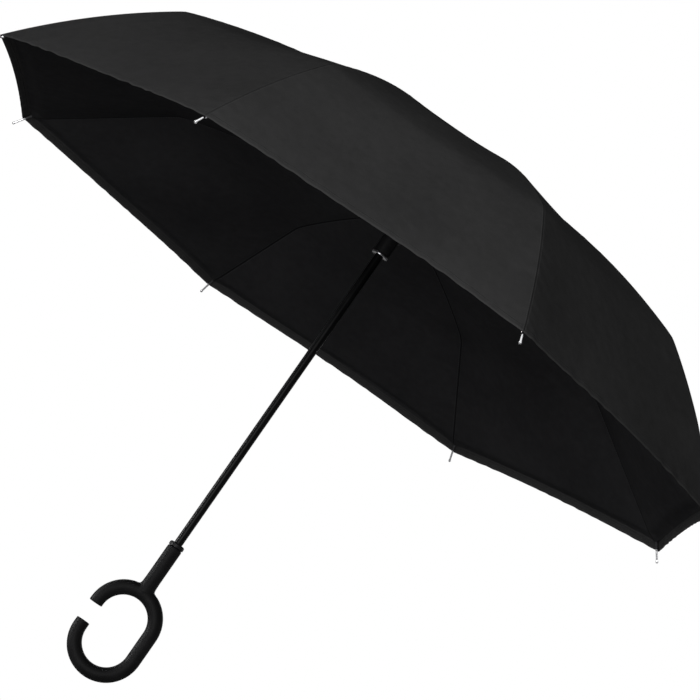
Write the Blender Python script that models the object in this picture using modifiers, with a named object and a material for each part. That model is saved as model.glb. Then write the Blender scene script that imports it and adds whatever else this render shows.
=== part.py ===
"""Inverted umbrella: an open two layer canopy on eight folding ribs, with a C shaped hook handle.

The origin is the centre of the hook, on the shaft's axis, where a hand holds it.
+Z runs up the shaft to the crown, and the hook's mouth faces -X.
The runner slides down the shaft to close the umbrella, and the arms turn up with it.
"""

import math

import bmesh
import bpy
from mathutils import Matrix, Vector

OBJECT_NAME = "inverted_umbrella"

# Driving dimensions in metres
RIB_COUNT = 8
SPREAD_RADIUS = 0.525
HEM_HEIGHT = 0.4635
FIT_GAP = 0.0003
OVERRUN = 0.004

# Canopy sizes, with every rise measured from the rib points at the hem
OUTER_RISE = 0.240
OUTER_KNEE_RADIUS = 0.363
OUTER_KNEE_RISE = 0.161
OUTER_BOW = 0.007
INNER_RISE = 0.134
INNER_KNEE_RADIUS = 0.335
INNER_KNEE_RISE = 0.107
HEM_LIFT = 0.0045
CLOTH_THICKNESS = 0.0008
OUTER_HEM_MARGIN = 0.0045
INNER_HEM_MARGIN = 0.0200
KNEE_SHARE = 0.6
GORE_COLUMNS = 6
ROWS_ABOVE_KNEE = 7
ROWS_BELOW_KNEE = 7

# Shaft and crown sizes
SHAFT_RADIUS = 0.00525
SHAFT_WALL = 0.0009
SHAFT_FOOT = 0.0700
SHAFT_SETBACK = 0.0040
CROWN_PIVOT_RISE = 0.2225
HUB_RADIUS = 0.0155
HUB_HALF_HEIGHT = 0.0055
CORE_RADIUS = 0.0095
PIVOT_RADIUS = 0.0125
CLOTH_SEAT_GAP = 0.0006
WIRE_RADIUS = 0.0006
CAP_RADIUS = 0.0140
CAP_HEIGHT = 0.0080
CAP_FLAT_RADIUS = 0.0060
CAP_STEM_RADIUS = 0.0040
CAP_STEM_LENGTH = 0.0100
OUTER_HOLE_RADIUS = 0.0075
INNER_HOLE_RADIUS = 0.0107

# Runner sizes, measured from the rib points at the hem where they are a rise
RUNNER_FOOT_RISE = 0.0774
RING_HEIGHT = 0.0028
RING_RADIUS = 0.0108
BARREL_FOOT_RADIUS = 0.0103
BARREL_TOP_RADIUS = 0.0110
FLANGE_RADIUS = 0.0135
FLANGE_HEIGHT = 0.0030
ARM_PIVOT_LIFT = 0.0053
BUTTON_RISE = 0.1050
BUTTON_RADIUS = 0.0040
BUTTON_PROUD = 0.0016
BUTTON_POCKET_RADIUS = 0.0064
BUTTON_TRAVEL = 0.0015

# Arm, knuckle, outer rib and stretcher sizes
ARM_WIDTH = 0.0030
ARM_HEIGHT = 0.0045
ARM_ROOF = 0.0012
ARM_GROOVE_WIDTH = 0.0016
EYE_RADIUS = 0.0024
KNUCKLE_DROP = 0.0075
KNUCKLE_SETBACK = 0.0020
KNUCKLE_BACK = 0.0125
KNUCKLE_FRONT = 0.0035
KNUCKLE_WIDTH = 0.0076
KNUCKLE_HEIGHT = 0.0090
KNUCKLE_BEVEL = 0.0008
SOCKET_END = 0.0045
SLOT_START = 0.0032
RIB_ROD_RADIUS = 0.0014
RIB_EYE_THICKNESS = 0.0031
RIB_SEAT = 0.0027
RIB_TIP_SETBACK = 0.0075
RIB_STEPS = 14
TIP_RADIUS = 0.0014
TIP_COLLAR_RADIUS = 0.0018
TIP_COLLAR_LENGTH = 0.0020
TIP_LENGTH = 0.0184
STRETCHER_REACH = 0.2400
STRETCHER_ROD_RADIUS = 0.0013
STRETCHER_EYE_THICKNESS = 0.0029
STRETCHER_SIDE_GAP = 0.0004
STRETCHER_JOG_START = 0.0200
STRETCHER_JOG_END = 0.0350
RIVET_RADIUS = 0.0017
RIVET_HEIGHT = 0.0010

# Handle sizes
HOOK_RADIUS = 0.0372
HOOK_HALF_STRAIGHT = 0.0169
HOOK_SHIFT = 0.0025
HOOK_TUBE_RADIUS = 0.0091
HOOK_END_RADIUS = 0.0085
HOOK_TAPER_LENGTH = 0.0500
UPPER_END_DROP = 0.0030
LOWER_END_LIFT = 0.0069
HOOK_ARC_STEPS = 14
NECK_FOOT = 0.0505
NECK_FOOT_RADIUS = 0.0099
NECK_FLARE_END = 0.0680
NECK_RADIUS = 0.0093
NECK_TOP = 0.1188
COLLAR_RADIUS = 0.0096
COLLAR_HEIGHT = 0.0050
COLLAR_CHAMFER = 0.0008

ROUND_SIDES = 32
EYE_SIDES = 14
ROD_SIDES = 8
WIRE_SIDES = 6
WIRE_STEPS = 32
SMOOTH_ANGLE = math.radians(35)
MERGE_DISTANCE = 0.00002

# Colours are red, green and blue, then roughness and metallic
FINISHES = {
    "outer_cloth": ((0.024, 0.024, 0.025), 0.75, 0.0),
    "inner_cloth": ((0.012, 0.012, 0.013), 0.85, 0.0),
    "black_steel": ((0.010, 0.010, 0.011), 0.35, 0.7),
    "bright_steel": ((0.75, 0.75, 0.77), 0.20, 1.0),
    "black_plastic": ((0.012, 0.012, 0.013), 0.45, 0.0),
    "soft_grip": ((0.020, 0.020, 0.021), 0.60, 0.0),
    "rib_fibre": ((0.015, 0.015, 0.016), 0.40, 0.0),
}


def clear_scene():
    for thing in list(bpy.data.objects):
        bpy.data.objects.remove(thing, do_unlink=True)


def make_collection(name):
    collection = bpy.data.collections.new(name)
    bpy.context.scene.collection.children.link(collection)
    return collection


def make_materials():
    materials = {}
    for name, (colour, roughness, metallic) in FINISHES.items():
        material = bpy.data.materials.new(name)
        material.use_nodes = True
        shader = material.node_tree.nodes["Principled BSDF"]
        shader.inputs["Base Color"].default_value = (*colour, 1.0)
        shader.inputs["Roughness"].default_value = roughness
        shader.inputs["Metallic"].default_value = metallic
        material.diffuse_color = (*colour, 1.0)
        materials[name] = material
    return materials


def rest_height(rise):
    """A rise above the rib points as a height above the origin."""
    return HEM_HEIGHT + rise


# Canopy profiles along a rib line


def profile_point(share, knee_radius, knee_rise, centre_rise, bow):
    """Radius and rise at a share of the way from the centre, 0, to the rib point, 1."""
    if share <= KNEE_SHARE:
        radius = knee_radius * share / KNEE_SHARE
        fall = (centre_rise - knee_rise) * (radius / knee_radius) ** 2
        return Vector((radius, centre_rise - fall))
    along = (share - KNEE_SHARE) / (1.0 - KNEE_SHARE)
    knee = Vector((knee_radius, knee_rise))
    point = Vector((SPREAD_RADIUS, 0.0))
    outward = Vector((knee_rise, SPREAD_RADIUS - knee_radius)).normalized()
    return knee.lerp(point, along) + outward * (4.0 * bow * along * (1.0 - along))


def outer_profile(share):
    return profile_point(share, OUTER_KNEE_RADIUS, OUTER_KNEE_RISE, OUTER_RISE, OUTER_BOW)


def inner_profile(share):
    return profile_point(share, INNER_KNEE_RADIUS, INNER_KNEE_RISE, INNER_RISE, 0.0)


def hem_share(margin, knee_radius):
    """The share where a layer stops, its margin short of the rib point."""
    return 1.0 - (1.0 - KNEE_SHARE) * margin / (SPREAD_RADIUS - knee_radius)


def row_shares(hole_radius, knee_radius, end_share):
    start = KNEE_SHARE * hole_radius / knee_radius
    upper = [start + (KNEE_SHARE - start) * i / ROWS_ABOVE_KNEE for i in range(ROWS_ABOVE_KNEE)]
    lower = [KNEE_SHARE + (end_share - KNEE_SHARE) * i / ROWS_BELOW_KNEE for i in range(ROWS_BELOW_KNEE + 1)]
    return upper + lower


def rib_azimuth(index):
    return math.pi * (2 * index + 1) / RIB_COUNT


def cloth_point(profile, share, turn):
    """A point of the cloth: straight from rib to rib, and lifted at the hem between them."""
    place = turn * RIB_COUNT
    gore = math.floor(place)
    across = place - gore
    radius, rise = profile(share)
    first = Vector((radius, 0.0, 0.0))
    first.rotate(Matrix.Rotation(rib_azimuth(gore), 3, "Z"))
    second = Vector((radius, 0.0, 0.0))
    second.rotate(Matrix.Rotation(rib_azimuth(gore + 1), 3, "Z"))
    point = first.lerp(second, across)
    below_knee = max(0.0, (share - KNEE_SHARE) / (1.0 - KNEE_SHARE))
    lift = HEM_LIFT * 4.0 * across * (1.0 - across) * below_knee**2
    point.z = rest_height(rise + lift)
    return point


def make_cloth(name, profile, shares):
    """A grid bent round the shaft, closed at its seam and given the cloth's thickness."""
    mesh = bpy.data.meshes.new(name)
    bm = bmesh.new()
    columns = RIB_COUNT * GORE_COLUMNS
    rows = len(shares) - 1
    bmesh.ops.create_grid(bm, x_segments=columns, y_segments=rows, size=1.0)
    for vertex in bm.verts:
        turn = round((vertex.co.x + 1.0) / 2 * columns) % columns / columns
        share = shares[round((vertex.co.y + 1.0) / 2 * rows)]
        vertex.co = cloth_point(profile, share, turn)
    bmesh.ops.remove_doubles(bm, verts=bm.verts, dist=MERGE_DISTANCE)
    bmesh.ops.recalc_face_normals(bm, faces=bm.faces)
    bm.to_mesh(mesh)
    bm.free()
    cloth = bpy.data.objects.new(name, mesh)
    solidify = cloth.modifiers.new("cloth_thickness", "SOLIDIFY")
    solidify.thickness = CLOTH_THICKNESS
    solidify.offset = 0.0
    return cloth


# Shapes shared by several pieces


def mesh_object(name, bm):
    mesh = bpy.data.meshes.new(name)
    bm.to_mesh(mesh)
    bm.free()
    return bpy.data.objects.new(name, mesh)


def box(name, low, high):
    bm = bmesh.new()
    low = Vector(low)
    high = Vector(high)
    size = Matrix.Diagonal((*(high - low), 1.0))
    bmesh.ops.create_cube(bm, size=1.0, matrix=Matrix.Translation((low + high) / 2) @ size)
    return mesh_object(name, bm)


def round_bar(name, start, end, radius, sides):
    bm = bmesh.new()
    start = Vector(start)
    end = Vector(end)
    span = end - start
    place = Matrix.Translation((start + end) / 2) @ span.to_track_quat("Z", "X").to_matrix().to_4x4()
    bmesh.ops.create_cone(
        bm, cap_ends=True, segments=sides, radius1=radius, radius2=radius, depth=span.length, matrix=place
    )
    return mesh_object(name, bm)


def cross_bar(name, along, across, half_width, radius, sides):
    """A round bar along Y, centred at a distance along X and across Y."""
    start = (along, across - half_width, 0.0)
    end = (along, across + half_width, 0.0)
    return round_bar(name, start, end, radius, sides)


def turned(name, profile, closed, sides=ROUND_SIDES):
    """A profile of radius and height, down its outer side, turned about Z."""
    bm = bmesh.new()
    points = [bm.verts.new((radius, 0.0, height)) for radius, height in profile]
    for first, second in zip(points, points[1:]):
        bm.edges.new((first, second))
    if closed:
        bm.edges.new((points[-1], points[0]))
    thing = mesh_object(name, bm)
    screw = thing.modifiers.new("turn", "SCREW")
    screw.steps = sides
    screw.render_steps = sides
    screw.use_merge_vertices = True
    screw.merge_threshold = MERGE_DISTANCE
    screw.use_normal_calculate = False
    return thing


def wire_ring(name, radius, height, wire_radius):
    """A ring of wire about Z, turned from its own round section."""
    section = []
    for step in range(WIRE_SIDES):
        angle = -math.tau * step / WIRE_SIDES
        section.append((radius + wire_radius * math.cos(angle), height + wire_radius * math.sin(angle)))
    return turned(name, section, True, WIRE_STEPS)


def tube_along(name, points, radii, sides):
    """A round rod through points in a line of short straight runs, with filled ends."""
    curve = bpy.data.curves.new(name, "CURVE")
    curve.dimensions = "3D"
    curve.bevel_depth = 1.0
    curve.bevel_resolution = (sides - 4) // 2
    curve.use_fill_caps = True
    spline = curve.splines.new("POLY")
    spline.points.add(len(points) - 1)
    for control, point, radius in zip(spline.points, points, radii):
        control.co = (*point, 1.0)
        control.radius = radius
    rod = bpy.data.objects.new(name, curve)
    bpy.context.scene.collection.objects.link(rod)
    graph = bpy.context.evaluated_depsgraph_get()
    mesh = bpy.data.meshes.new_from_object(rod.evaluated_get(graph))
    bpy.data.objects.remove(rod, do_unlink=True)
    bm = bmesh.new()
    bm.from_mesh(mesh)
    bmesh.ops.remove_doubles(bm, verts=bm.verts, dist=MERGE_DISTANCE)
    bm.to_mesh(mesh)
    bm.free()
    return bpy.data.objects.new(name, mesh)


def finish_shape(base, joined=(), cut=(), joined_last=()):
    """Joins and cuts pieces into a base, in that order, and leaves one plain mesh."""
    steps = [(piece, "UNION") for piece in joined]
    steps += [(piece, "DIFFERENCE") for piece in cut]
    steps += [(piece, "UNION") for piece in joined_last]
    things = [base] + [piece for piece, _ in steps]
    for thing in things:
        bpy.context.scene.collection.objects.link(thing)
    for piece, operation in steps:
        piece.hide_render = True
        piece.display_type = "WIRE"
        boolean = base.modifiers.new(piece.name, "BOOLEAN")
        boolean.operation = operation
        boolean.object = piece
        boolean.solver = "EXACT"
    bpy.context.view_layer.update()
    graph = bpy.context.evaluated_depsgraph_get()
    mesh = bpy.data.meshes.new_from_object(base.evaluated_get(graph))
    mesh.name = base.name
    for thing in things:
        bpy.data.objects.remove(thing, do_unlink=True)
    return mesh


def place(collection, name, mesh, material, location=(0.0, 0.0, 0.0), rotation=(0.0, 0.0, 0.0)):
    """An object for one piece, with its finish, at its place."""
    if not mesh.materials:
        mesh.materials.append(material)
        mesh.shade_smooth()
        mesh.set_sharp_from_angle(angle=SMOOTH_ANGLE)
    piece = bpy.data.objects.new(name, mesh)
    piece.location = location
    piece.rotation_euler = rotation
    collection.objects.link(piece)
    return piece


# Places that several pieces share, in the plane of one rib as radius and height


def arm_pivot():
    return Vector((PIVOT_RADIUS, rest_height(INNER_RISE + CLOTH_THICKNESS / 2 + ARM_PIVOT_LIFT)))


def crown_pivot():
    return Vector((PIVOT_RADIUS, rest_height(CROWN_PIVOT_RISE)))


def knee_pivot():
    radius = OUTER_KNEE_RADIUS - KNUCKLE_SETBACK
    return Vector((radius, rest_height(OUTER_KNEE_RISE - KNUCKLE_DROP)))


def stretcher_end():
    arm = knee_pivot() - arm_pivot()
    return arm_pivot() + arm.normalized() * STRETCHER_REACH


def pitch_of(span):
    """How far a span of radius and height rises from level."""
    return math.atan2(span.y, span.x)


def on_rib(point, index):
    """A place in the plane of one rib as a place in space."""
    azimuth = rib_azimuth(index)
    return Vector((point.x * math.cos(azimuth), point.x * math.sin(azimuth), point.y))


# Shaft, crown and cap


def shaft_mesh():
    bore = SHAFT_RADIUS - SHAFT_WALL
    top = rest_height(OUTER_RISE - SHAFT_SETBACK)
    profile = [(SHAFT_RADIUS, top), (SHAFT_RADIUS, SHAFT_FOOT), (bore, SHAFT_FOOT), (bore, top)]
    return finish_shape(turned("shaft", profile, True))


def slot_cutters(name, low, high, width):
    """One block for each rib, which opens the hub's rim outwards."""
    cutters = []
    for index in range(RIB_COUNT):
        cutter = box(name, (CORE_RADIUS, -width / 2, low), (HUB_RADIUS + OVERRUN, width / 2, high))
        cutter.data.transform(Matrix.Rotation(rib_azimuth(index), 4, "Z"))
        cutters.append(cutter)
    return cutters


def crown_mesh():
    """The fixed hub: its slots open outwards and down, and its flat top carries the outer cloth."""
    bore = SHAFT_RADIUS + FIT_GAP
    pivot = crown_pivot().y
    top = rest_height(OUTER_RISE - CLOTH_THICKNESS / 2 - CLOTH_SEAT_GAP)
    low = pivot - HUB_HALF_HEIGHT
    profile = [(HUB_RADIUS, top), (HUB_RADIUS, low), (bore, low), (bore, top)]
    width = STRETCHER_EYE_THICKNESS + 2 * FIT_GAP
    slots = slot_cutters("crown_slot", low - OVERRUN, pivot + EYE_RADIUS + FIT_GAP, width)
    groove = wire_ring("crown_groove", PIVOT_RADIUS, pivot, WIRE_RADIUS + FIT_GAP)
    return finish_shape(turned("crown", profile, True), cut=[*slots, groove])


def cap_mesh():
    """The top cap: a low dome with a flat top, and a stem down into the shaft."""
    seat = rest_height(OUTER_RISE + CLOTH_THICKNESS / 2) + FIT_GAP
    top = seat + CAP_HEIGHT
    edge = CAP_RADIUS - CAP_FLAT_RADIUS
    dome_shares = [(0.0, 1.0), (0.38, 0.92), (0.71, 0.71), (0.92, 0.38), (1.0, 0.12), (1.0, 0.0)]
    profile = [(0.0, top)]
    profile += [(CAP_FLAT_RADIUS + edge * out, seat + CAP_HEIGHT * up) for out, up in dome_shares]
    profile += [(CAP_STEM_RADIUS, seat), (CAP_STEM_RADIUS, seat - CAP_STEM_LENGTH), (0.0, seat - CAP_STEM_LENGTH)]
    return finish_shape(turned("top_cap", profile, False))


# Runner, its ring and its release button


def runner_mesh():
    """The sliding hub: a barrel, a flange under the inner cloth and a slotted rim above it."""
    bore = SHAFT_RADIUS + FIT_GAP
    pivot = arm_pivot().y
    top = pivot + HUB_HALF_HEIGHT
    cloth_top = rest_height(INNER_RISE + CLOTH_THICKNESS / 2) + FIT_GAP
    cloth_low = rest_height(INNER_RISE - CLOTH_THICKNESS / 2) - CLOTH_SEAT_GAP
    flange_low = cloth_low - FLANGE_HEIGHT
    foot = rest_height(RUNNER_FOOT_RISE) + RING_HEIGHT + FIT_GAP
    profile = [
        (HUB_RADIUS, top),
        (HUB_RADIUS, cloth_top),
        (CORE_RADIUS, cloth_top),
        (CORE_RADIUS, cloth_low),
        (FLANGE_RADIUS, cloth_low),
        (FLANGE_RADIUS, flange_low),
        (BARREL_TOP_RADIUS, flange_low),
        (BARREL_FOOT_RADIUS, foot),
        (bore, foot),
        (bore, top),
    ]
    width = ARM_WIDTH + 2 * FIT_GAP
    slots = slot_cutters("runner_slot", pivot - EYE_RADIUS - FIT_GAP, top + OVERRUN, width)
    groove = wire_ring("runner_groove", PIVOT_RADIUS, pivot, WIRE_RADIUS + FIT_GAP)
    height = rest_height(BUTTON_RISE)
    start = (BUTTON_POCKET_RADIUS, 0.0, height)
    end = (BARREL_TOP_RADIUS + OVERRUN, 0.0, height)
    pocket = round_bar("button_pocket", start, end, BUTTON_RADIUS + FIT_GAP, ROUND_SIDES)
    return finish_shape(turned("runner", profile, True), cut=[*slots, groove, pocket])


def ring_mesh():
    bore = SHAFT_RADIUS + FIT_GAP
    low = rest_height(RUNNER_FOOT_RISE)
    top = low + RING_HEIGHT
    profile = [(RING_RADIUS, top), (RING_RADIUS, low), (bore, low), (bore, top)]
    return finish_shape(turned("runner_ring", profile, True))


def button_mesh():
    """The release button stands proud of the barrel and leaves its travel free behind it."""
    inner = BUTTON_POCKET_RADIUS + FIT_GAP + BUTTON_TRAVEL
    outer = BARREL_TOP_RADIUS + BUTTON_PROUD
    height = rest_height(BUTTON_RISE)
    return finish_shape(round_bar("button", (inner, 0.0, height), (outer, 0.0, height), BUTTON_RADIUS, ROUND_SIDES))


# Arm, knuckle, outer rib, tip and stretcher, each built with its hinge at its origin


def arm_mesh():
    """A channel bar from its eye to the knuckle's socket."""
    length = (knee_pivot() - arm_pivot()).length
    end = length - SOCKET_END
    half = ARM_WIDTH / 2
    base = box("arm", (0.0, -half, -ARM_HEIGHT / 2), (end, half, ARM_HEIGHT / 2))
    eye = cross_bar("arm_eye", 0.0, 0.0, half, EYE_RADIUS, EYE_SIDES)
    hole = cross_bar("arm_hole", 0.0, 0.0, ARM_WIDTH, WIRE_RADIUS + FIT_GAP, EYE_SIDES)
    groove_low = (2 * EYE_RADIUS, -ARM_GROOVE_WIDTH / 2, -ARM_HEIGHT)
    groove_high = (end - KNUCKLE_BACK, ARM_GROOVE_WIDTH / 2, ARM_HEIGHT / 2 - ARM_ROOF)
    groove = box("arm_groove", groove_low, groove_high)
    return finish_shape(base, joined=[eye], cut=[hole, groove])


def knuckle_mesh():
    """A fork on the arm's end: a socket for the arm, two cheeks and the pin between them."""
    length = (knee_pivot() - arm_pivot()).length
    half = KNUCKLE_WIDTH / 2
    back = length - KNUCKLE_BACK
    front = length + KNUCKLE_FRONT
    base = box("knuckle", (back, -half, -KNUCKLE_HEIGHT / 2), (front, half, KNUCKLE_HEIGHT / 2))
    bevel = base.modifiers.new("soft_edges", "BEVEL")
    bevel.width = KNUCKLE_BEVEL
    bevel.segments = 2
    socket_half = ARM_WIDTH / 2 + FIT_GAP
    socket_high = ARM_HEIGHT / 2 + FIT_GAP
    socket_end = length - SOCKET_END + FIT_GAP
    socket = box("socket", (back - OVERRUN, -socket_half, -socket_high), (socket_end, socket_half, socket_high))
    slot_half = RIB_EYE_THICKNESS / 2 + FIT_GAP
    slot_start = length - SLOT_START
    slot_high = KNUCKLE_HEIGHT
    slot = box("slot", (slot_start, -slot_half, -slot_high), (front + OVERRUN, slot_half, slot_high))
    pin = cross_bar("knuckle_pin", length, 0.0, half - KNUCKLE_BEVEL, WIRE_RADIUS, EYE_SIDES)
    return finish_shape(base, cut=[socket, slot], joined_last=[pin])


def rib_line():
    """The outer rib's centre line from the knee pivot to its tip, close under the outer cloth."""
    knee = knee_pivot()
    points = []
    end_share = hem_share(RIB_TIP_SETBACK, OUTER_KNEE_RADIUS)
    first = outer_profile(KNEE_SHARE)
    lead = knee - Vector((first.x, rest_height(first.y)))
    for step in range(RIB_STEPS + 1):
        along = step / RIB_STEPS
        share = KNEE_SHARE + (end_share - KNEE_SHARE) * along
        small = (end_share - KNEE_SHARE) / RIB_STEPS
        ahead = outer_profile(min(1.0, share + small)) - outer_profile(share)
        inward = Vector((ahead.y, -ahead.x)).normalized()
        point = outer_profile(share)
        seat = Vector((point.x, rest_height(point.y))) + inward * RIB_SEAT
        points.append(seat.lerp(Vector((point.x, rest_height(point.y))) + lead, (1.0 - along) ** 4))
    return points


def rib_mesh():
    """A round rod with a flat eye at its inner end."""
    knee = knee_pivot()
    line = rib_line()
    points = [(point.x - knee.x, 0.0, point.y - knee.y) for point in line]
    radii = [RIB_ROD_RADIUS] * len(points)
    rod = tube_along("outer_rib", points, radii, ROD_SIDES)
    eye = cross_bar("rib_eye", 0.0, 0.0, RIB_EYE_THICKNESS / 2, EYE_RADIUS, EYE_SIDES)
    hole = cross_bar("rib_hole", 0.0, 0.0, RIB_EYE_THICKNESS, WIRE_RADIUS + FIT_GAP, EYE_SIDES)
    return finish_shape(rod, joined=[eye], cut=[hole])


def tip_mesh():
    """A small turned end piece in line with the rib's last stretch."""
    line = rib_line()
    knee = knee_pivot()
    ahead = (line[-1] - line[-2]).normalized()
    start = line[-1] + ahead * FIT_GAP
    neck = TIP_COLLAR_LENGTH
    profile = [
        (0.0, TIP_LENGTH),
        (TIP_RADIUS / 2, TIP_LENGTH - TIP_RADIUS / 8),
        (TIP_RADIUS, TIP_LENGTH - TIP_RADIUS / 2),
        (TIP_RADIUS, neck),
        (TIP_COLLAR_RADIUS, neck),
        (TIP_COLLAR_RADIUS, 0.0),
        (0.0, 0.0),
    ]
    mesh = finish_shape(turned("rib_tip", profile, False, EYE_SIDES))
    direction = Vector((ahead.x, 0.0, ahead.y))
    offset = Vector((start.x - knee.x, 0.0, start.y - knee.y))
    mesh.transform(Matrix.Translation(offset) @ direction.to_track_quat("Z", "Y").to_matrix().to_4x4())
    return mesh


def stretcher_mesh():
    """A round rod that steps aside, so that it passes beside the arm."""
    length = (stretcher_end() - crown_pivot()).length
    half = STRETCHER_EYE_THICKNESS / 2
    aside = ARM_WIDTH / 2 + STRETCHER_SIDE_GAP + half
    places = [(0.0, 0.0), (STRETCHER_JOG_START, 0.0), (STRETCHER_JOG_END, aside), (length, aside)]
    points = [(along, across, 0.0) for along, across in places]
    rod = tube_along("stretcher", points, [STRETCHER_ROD_RADIUS] * len(points), ROD_SIDES)
    near_eye = cross_bar("near_eye", 0.0, 0.0, half, EYE_RADIUS, EYE_SIDES)
    far_eye = cross_bar("far_eye", length, aside, half, EYE_RADIUS, EYE_SIDES)
    rivet = cross_bar("rivet", length, aside + RIVET_HEIGHT, half, RIVET_RADIUS, EYE_SIDES)
    hole = cross_bar("near_hole", 0.0, 0.0, STRETCHER_EYE_THICKNESS, WIRE_RADIUS + FIT_GAP, EYE_SIDES)
    return finish_shape(rod, joined=[near_eye, far_eye, rivet], cut=[hole])


# Handle


def hook_line():
    """The hook's centre line in the XZ plane, from its upper end over the top to its lower end."""
    side = -HOOK_SHIFT - HOOK_RADIUS
    points = [Vector((side, 0.0, HOOK_HALF_STRAIGHT - UPPER_END_DROP))]
    for step in range(HOOK_ARC_STEPS + 1):
        angle = math.pi - math.pi * step / HOOK_ARC_STEPS
        radial = Vector((math.cos(angle), 0.0, math.sin(angle))) * HOOK_RADIUS
        points.append(Vector((-HOOK_SHIFT, 0.0, HOOK_HALF_STRAIGHT)) + radial)
    for step in range(HOOK_ARC_STEPS + 1):
        angle = -math.pi * step / HOOK_ARC_STEPS
        radial = Vector((math.cos(angle), 0.0, math.sin(angle))) * HOOK_RADIUS
        points.append(Vector((-HOOK_SHIFT, 0.0, -HOOK_HALF_STRAIGHT)) + radial)
    points.append(Vector((side, 0.0, LOWER_END_LIFT - HOOK_HALF_STRAIGHT)))
    return points


def hook_radii(points):
    """The tube's radius at each point, slimmer towards both ends."""
    runs = [(second - first).length for first, second in zip(points, points[1:])]
    whole = sum(runs)
    radii = []
    for index in range(len(points)):
        gone = sum(runs[:index])
        near_end = min(gone, whole - gone)
        share = min(1.0, near_end / HOOK_TAPER_LENGTH)
        radii.append(HOOK_END_RADIUS + (HOOK_TUBE_RADIUS - HOOK_END_RADIUS) * share)
    return radii


def handle_mesh():
    points = hook_line()
    hook = tube_along("handle", points, hook_radii(points), EYE_SIDES)
    profile = [
        (0.0, NECK_TOP),
        (NECK_RADIUS, NECK_TOP),
        (NECK_RADIUS, NECK_FLARE_END),
        (NECK_FOOT_RADIUS, NECK_FOOT),
        (0.0, NECK_FOOT),
    ]
    neck = turned("neck", profile, False)
    low = (0.0, 0.0, SHAFT_FOOT - FIT_GAP)
    high = (0.0, 0.0, NECK_TOP + OVERRUN)
    bore = round_bar("neck_bore", low, high, SHAFT_RADIUS + FIT_GAP, ROUND_SIDES)
    return finish_shape(hook, joined=[neck], cut=[bore])


def collar_mesh():
    bore = SHAFT_RADIUS + FIT_GAP
    low = NECK_TOP + FIT_GAP
    top = low + COLLAR_HEIGHT
    profile = [
        (COLLAR_RADIUS - COLLAR_CHAMFER, top),
        (COLLAR_RADIUS, top - COLLAR_CHAMFER),
        (COLLAR_RADIUS, low),
        (bore, low),
        (bore, top),
    ]
    return finish_shape(turned("neck_collar", profile, True))


def build_centre(collection, materials):
    """The pieces on the shaft's axis, from the handle up to the cap."""
    place(collection, "handle", handle_mesh(), materials["soft_grip"])
    place(collection, "neck_collar", collar_mesh(), materials["black_plastic"])
    place(collection, "shaft", shaft_mesh(), materials["black_steel"])
    place(collection, "crown", crown_mesh(), materials["black_plastic"])
    place(collection, "top_cap", cap_mesh(), materials["black_plastic"])
    place(collection, "runner", runner_mesh(), materials["black_plastic"])
    place(collection, "runner_ring", ring_mesh(), materials["bright_steel"])
    place(collection, "release_button", button_mesh(), materials["black_plastic"])
    wires = (("crown_wire", crown_pivot().y), ("runner_wire", arm_pivot().y))
    for name, height in wires:
        ring = finish_shape(wire_ring(name, PIVOT_RADIUS, height, WIRE_RADIUS))
        place(collection, name, ring, materials["bright_steel"])


def build_ribs(collection, materials):
    """Arm, knuckle, outer rib, tip and stretcher at each of the ribs."""
    arm = arm_mesh()
    knuckle = knuckle_mesh()
    rib = rib_mesh()
    tip = tip_mesh()
    stretcher = stretcher_mesh()
    arm_pitch = pitch_of(knee_pivot() - arm_pivot())
    stretcher_pitch = pitch_of(stretcher_end() - crown_pivot())
    for index in range(RIB_COUNT):
        azimuth = rib_azimuth(index)
        label = f"{index + 1}"
        arm_turn = (0.0, -arm_pitch, azimuth)
        low = on_rib(arm_pivot(), index)
        knee = on_rib(knee_pivot(), index)
        high = on_rib(crown_pivot(), index)
        place(collection, "arm_" + label, arm, materials["black_steel"], low, arm_turn)
        place(collection, "knuckle_" + label, knuckle, materials["black_plastic"], low, arm_turn)
        place(collection, "outer_rib_" + label, rib, materials["rib_fibre"], knee, (0.0, 0.0, azimuth))
        place(collection, "rib_tip_" + label, tip, materials["bright_steel"], knee, (0.0, 0.0, azimuth))
        turn = (0.0, -stretcher_pitch, azimuth)
        place(collection, "stretcher_" + label, stretcher, materials["black_steel"], high, turn)


def build_canopy(collection, materials):
    layers = (
        ("outer_canopy", outer_profile, OUTER_HOLE_RADIUS, OUTER_KNEE_RADIUS, OUTER_HEM_MARGIN, "outer_cloth"),
        ("inner_canopy", inner_profile, INNER_HOLE_RADIUS, INNER_KNEE_RADIUS, INNER_HEM_MARGIN, "inner_cloth"),
    )
    for name, profile, hole, knee_radius, margin, finish in layers:
        shares = row_shares(hole, knee_radius, hem_share(margin, knee_radius))
        cloth = finish_shape(make_cloth(name, profile, shares))
        place(collection, name, cloth, materials[finish])


def main():
    clear_scene()
    collection = make_collection(OBJECT_NAME)
    materials = make_materials()
    build_centre(collection, materials)
    build_ribs(collection, materials)
    build_canopy(collection, materials)


main()
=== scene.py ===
"""Looks for the inverted umbrella: two cloth layers, fittings, handle, finishes and a plain studio."""

import math

import bmesh
import bpy
import numpy as np
from mathutils import Matrix, Vector


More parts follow.
